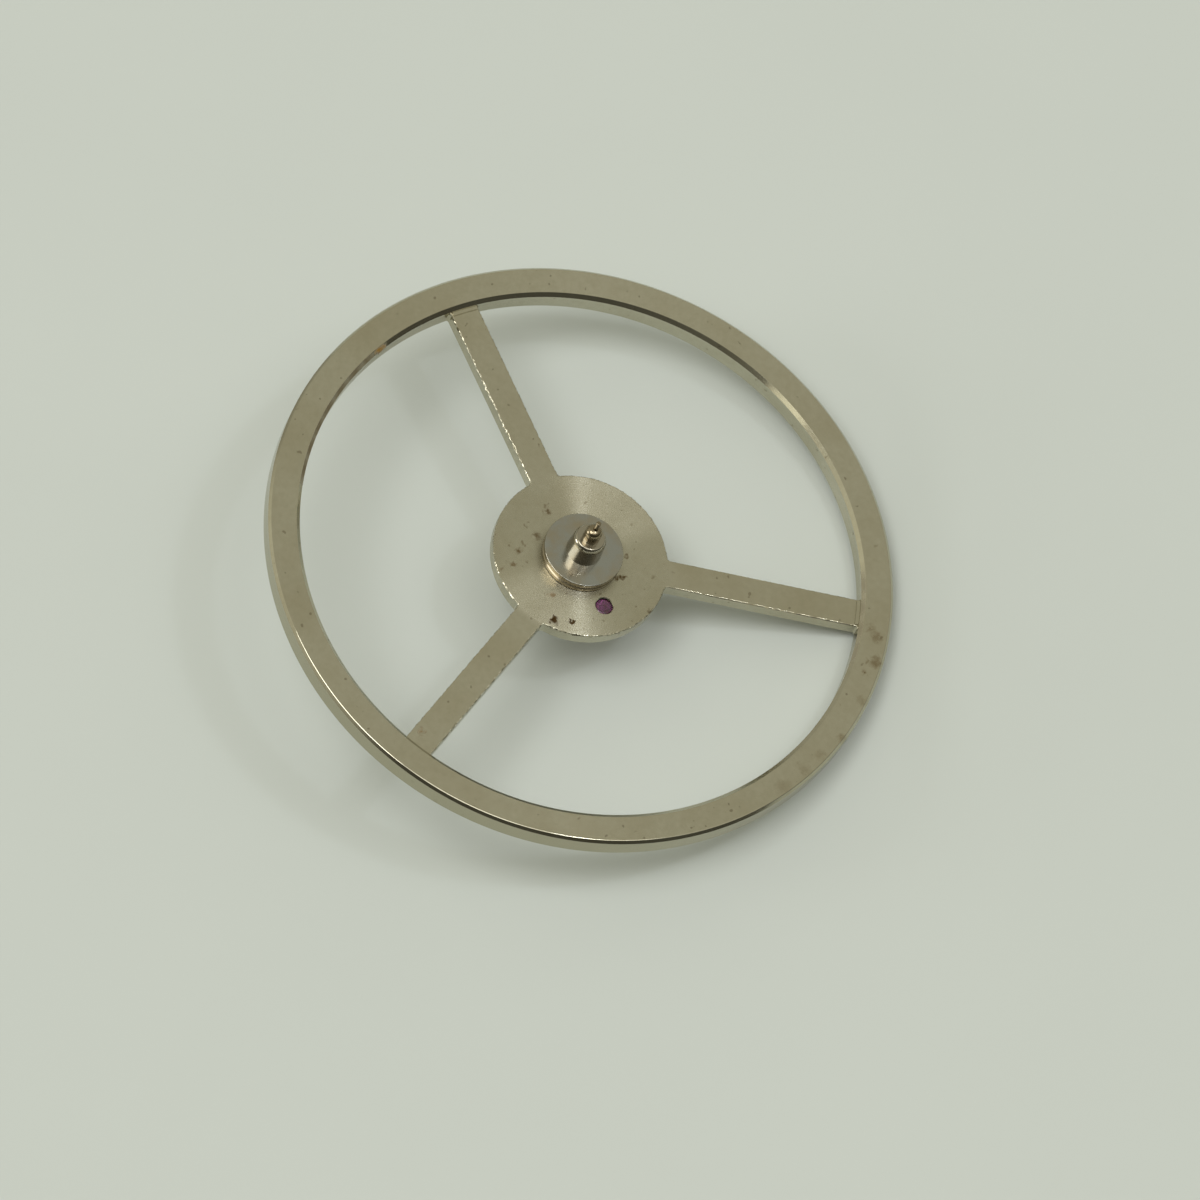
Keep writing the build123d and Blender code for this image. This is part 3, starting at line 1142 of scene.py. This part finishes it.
def steel(name, colour, shade_colour, low_roughness, high_roughness, ring_depth):
    """A polished steel with faint rings, a thin film of old oil, a painted warm reflection on the upright
    faces and painted shade by height.
    """
    material, tree, shader, place = start_metal(name, steel_anisotropy)
    rings = place_group(tree, turning, Place=place, Fine_rings=90.0, Coarse_rings=25.0)
    marks = place_group(tree, tarnish, Place=place, Clouds=3.5, Grain=80.0)
    height = add_node(tree, "ShaderNodeSeparateXYZ", Vector=place).outputs["Z"]
    above = reckon(tree, "GREATER_THAN", height, flange_top + hair)
    below = reckon(tree, "LESS_THAN", height, flange_top - clean_flange_band)
    # painted reflection: a warm tint on the upright faces above the flange
    painted_side_reflection = reckon(tree, "MULTIPLY", above, side_reflection_share)
    cloudy = reckon(tree, "MULTIPLY", marks["Clouds"], film_in_clouds)
    film_and_side_reflection = reckon(tree, "MAXIMUM", cloudy, painted_side_reflection)
    tinted = mix_colours(tree, film_and_side_reflection, colour, oil_and_reflection_colour)
    shoulder = reckon(tree, "GREATER_THAN", height, collet_top + shoulder_start)
    # painted shade on the shoulder and below the flange's top
    painted_shade = reckon(tree, "MULTIPLY", reckon(tree, "MAXIMUM", below, shoulder), painted_shade_strength)
    shaded = mix_colours(tree, painted_shade, tinted, shade_colour)
    tree.links.new(shaded, shader.inputs["Base Color"])
    roughness = blend_values(tree, rings["Shade"], low_roughness, high_roughness)
    tree.links.new(roughness, shader.inputs["Roughness"])
    bump = add_node(
        tree,
        "ShaderNodeBump",
        None,
        Strength=ring_strength,
        Distance=ring_depth * MM,
        Height=rings["Height"],
    )
    tree.links.new(bump.outputs[0], shader.inputs["Normal"])
    return material


# colour of the oil film and of the painted warm reflection on the upright faces
oil_and_reflection_colour = (0.39, 0.31, 0.18)
staff_colour = (0.38, 0.385, 0.355)
# colour of the painted shade on the staff's shoulder and flange wall
staff_shade_colour = (0.25, 0.20, 0.12)
roller_colour = (0.56, 0.56, 0.55)
# the roller lies below the flange, so it takes this darker colour all over
roller_under_flange_colour = (0.46, 0.43, 0.36)
# the last three values: lowest and highest roughness, and depth of the rings in millimetres
dress(staff, steel("polished staff steel", staff_colour, staff_shade_colour, 0.12, 0.18, 0.0006))
dress(roller, steel("roller steel", roller_colour, roller_under_flange_colour, 0.12, 0.22, 0.001))

# %% [markdown]
# ## Ruby
# The pin is synthetic ruby: clear, deep red to violet, with a high refractive index. It is a glass with
# coloured transmission. Soft violet clouds in the deep red are painted reflection: they stand in for the
# light that the pin reflects inside itself. A very fine grain stands for the polish.

# %% The pin's material
ruby_dark = (0.12, 0.025, 0.04)
# violet of the painted reflection inside the pin
ruby_painted_reflection = (0.42, 0.08, 0.40)
ruby_index = 1.76
ruby_roughness_low = 0.02
ruby_roughness_high = 0.06
ruby_relief_strength = 0.1
ruby_relief_depth = 0.0005

ruby, tree, shader, place = start_material("synthetic ruby")
reflection_clouds_and_grain = place_group(tree, tarnish, Place=place, Clouds=9.0, Grain=60.0)
# the violet clouds are painted reflection
colour = mix_colours(tree, reflection_clouds_and_grain["Clouds"], ruby_dark, ruby_painted_reflection)
tree.links.new(colour, shader.inputs["Base Color"])
shader.inputs["Transmission Weight"].default_value = 1.0
shader.inputs["IOR"].default_value = ruby_index
roughness = blend_values(tree, reflection_clouds_and_grain["Grain"], ruby_roughness_low, ruby_roughness_high)
tree.links.new(roughness, shader.inputs["Roughness"])
bump = add_node(
    tree,
    "ShaderNodeBump",
    None,
    Strength=ruby_relief_strength,
    Distance=ruby_relief_depth * MM,
    Height=reflection_clouds_and_grain["Grain"],
)
tree.links.new(bump.outputs[0], shader.inputs["Normal"])
dress(jewel, ruby)

# %% [markdown]
# ## The sheet it lies on
# A balance that is put down without its watch leans over: it rests on the tip of its lower
# pivot and on one point of its rim. The floor is laid through these two points, so it slopes
# a little in the part's own frame, and it is lowered until it just touches.

# %% Lay the floor under the leaning wheel
lean_towards = 96.5
floor_half_width = 0.6

rest_radius = rim_radius - rim_lower_break
lean = atan2(rim_bottom, rest_radius - (pivot_radius - pivot_tip_round))
uphill = Vector((cos(radians(lean_towards)), sin(radians(lean_towards)), 0))
floor_normal = Vector((-sin(lean) * uphill.x, -sin(lean) * uphill.y, cos(lean)))
pieces = [wheel, staff, jewel, roller]
lowest = min(floor_normal.dot(vertex.co) for piece in pieces for vertex in piece.data.vertices)

bpy.ops.object.select_all(action="DESELECT")
bpy.ops.mesh.primitive_grid_add(x_subdivisions=8, y_subdivisions=8, size=2 * floor_half_width)
floor = bpy.context.object
floor.name = "floor"
leaning = floor_normal.to_track_quat("Z", "Y").to_matrix().to_4x4()
floor.data.transform(Matrix.Translation(floor_normal * lowest) @ leaning)
print("the floor leans by", round(degrees(lean), 2), "degrees")

# %% [markdown]
# ## The colour of the sheet
# The sheet is plain and pale, matt, and a little green like the light in the photograph. A
# very soft mottle keeps it from looking like a screen.

# %% The sheet's material
floor_colour = (0.575, 0.610, 0.575)
paler_share = 1.03
floor_mottle_scale = 0.25
floor_roughness = 0.9
floor_gloss = 0.1

paper, tree, shader, place = start_material("pale sheet")
mottle = add_node(tree, "ShaderNodeTexNoise", None, Vector=place, Scale=floor_mottle_scale, Detail=3.0)
paler = tuple(channel * paler_share for channel in floor_colour)
tree.links.new(mix_colours(tree, mottle.outputs[0], floor_colour, paler), shader.inputs["Base Color"])
shader.inputs["Roughness"].default_value = floor_roughness
shader.inputs["Specular IOR Level"].default_value = floor_gloss
dress(floor, paper)

# %% [markdown]
# ## The camera
# The camera looks down at the wheel from the side of the clean arm, through a long lens, as
# macro photographs are taken, and it is turned about its own line of sight. It is placed by
# four plain facts: the direction it looks from, its distance, the point it aims at and its
# roll. The point lies on the plane of the rim's top.

# %% Set up the camera
camera_azimuth = -20.697
camera_elevation = 58.822
camera_roll = 29.609
camera_distance = 288.310
camera_aim = Vector((0.75885, 0.35200, rim_top))
camera_lens = 559.465
# in metres
camera_clip_start = 0.01
camera_clip_end = 3.0


def direction(azimuth, elevation):
    """The unit vector towards an azimuth and elevation, in degrees."""
    level = cos(radians(elevation))
    turn = radians(azimuth)
    return Vector((level * cos(turn), level * sin(turn), sin(radians(elevation))))


backward = direction(camera_azimuth, camera_elevation)
level_right = Vector((0, 0, 1)).cross(backward).normalized()
level_up = backward.cross(level_right)
right = level_right * cos(radians(camera_roll)) + level_up * sin(radians(camera_roll))
up = backward.cross(right)
camera_data = bpy.data.cameras.new("camera")
camera_data.lens = camera_lens
camera_data.clip_start = camera_clip_start
camera_data.clip_end = camera_clip_end
camera = bpy.data.objects.new("camera", camera_data)
bpy.context.scene.collection.objects.link(camera)
camera_place = (camera_aim + backward * camera_distance) * MM
camera.matrix_world = Matrix.Translation(camera_place) @ Matrix((right, up, backward)).transposed().to_4x4()
bpy.context.scene.camera = camera
print("camera at", [round(value, 4) for value in camera_place])

# %% [markdown]
# ## The light
# The shadows and highlights tell where the light came from. Most of it is one broad soft
# panel, high up on the near side, which is why the shadows are so faint. Weaker panels fill
# in round it, a small cooler lamp on the far side draws the bright fan on the hub, and a low
# window lights the sheet from the side. Each is an area lamp, and its power is worked out
# from the share of light that it gives a white card on the floor. All the shares and the
# glow of the room add up to about one, so that a colour renders about as it is written.

# %% Lamps
lamp_distance = 400.0
# name, azimuth and elevation in degrees, width in millimetres, share of the light
lamps = [
    ("main panel", -70.0, 58.0, 220.0, 0.30),
    ("near panel", -30.0, 74.0, 200.0, 0.07),
    ("side panel", 55.0, 80.0, 200.0, 0.10),
    ("cross panel", 85.0, 66.0, 170.0, 0.012),
    ("far lamp", 85.0, 77.3, 30.0, 0.040),
    ("low window", -85.0, -1.0, 170.0, 0.07),
]
far_lamp_colour = (0.94, 1.0, 1.12)

for name, azimuth, elevation, width, share in lamps:
    towards = direction(azimuth, elevation)
    slant = towards.dot(floor_normal)
    distance = lamp_distance * MM
    data = bpy.data.lights.new(name, "AREA")
    data.shape = "DISK"
    data.size = width * MM
    data.energy = share * pi**2 * distance**2 / slant
    lamp = bpy.data.objects.new(name, data)
    bpy.context.scene.collection.objects.link(lamp)
    turned = towards.to_track_quat("Z", "Y").to_matrix().to_4x4()
    lamp.matrix_world = Matrix.Translation(towards * distance) @ turned
    lamp.visible_camera = False
    print("lamp", name, "has", round(data.energy, 3), "watts")
bpy.data.lights["far lamp"].color = far_lamp_colour

# %% [markdown]
# ## The room
# The polished faces mirror three soft glows: a pale wall on the far side, a dimmer one low
# down on the near side, and a small bright spot that glints in the inner chamfer. Everywhere
# else the room is dark. That contrast is what makes steel look like steel. Each glow is a
# round patch of sky, found by the angle between a direction and the patch's middle.

# %% Room
# azimuth and elevation of the middle, reach of the full glow and of its end, brightness
walls = [
    (190.0, 53.6, 35.0, 90.0, 0.42),
    (-88.0, 17.0, 15.0, 48.0, 0.34),
    (-56.0, 39.0, 2.0, 9.0, 0.65),
]
wall_colour = (1.0, 0.98, 0.80, 1)
room_strength = 0.085

world = bpy.data.worlds.new("room")
bpy.context.scene.world = world
world.use_nodes = True
tree = world.node_tree
look = add_node(tree, "ShaderNodeTexCoord").outputs["Generated"]
strength = room_strength
for azimuth, elevation, inner, outer, brightness in walls:
    across = add_node(
        tree,
        "ShaderNodeVectorMath",
        {"operation": "DOT_PRODUCT"},
        i0=look,
        i1=direction(azimuth, elevation),
    )
    glow = add_node(
        tree,
        "ShaderNodeMapRange",
        {"interpolation_type": "SMOOTHSTEP"},
        Value=across.outputs["Value"],
        From_Min=cos(radians(outer)),
        From_Max=cos(radians(inner)),
        To_Max=brightness,
    )
    strength = reckon(tree, "ADD", strength, glow.outputs[0])
tree.links.new(strength, tree.nodes["Background"].inputs["Strength"])
tree.nodes["Background"].inputs["Color"].default_value = wall_colour
bpy.context.scene.view_settings.view_transform = "Standard"
print("glows in the room:", len(walls))
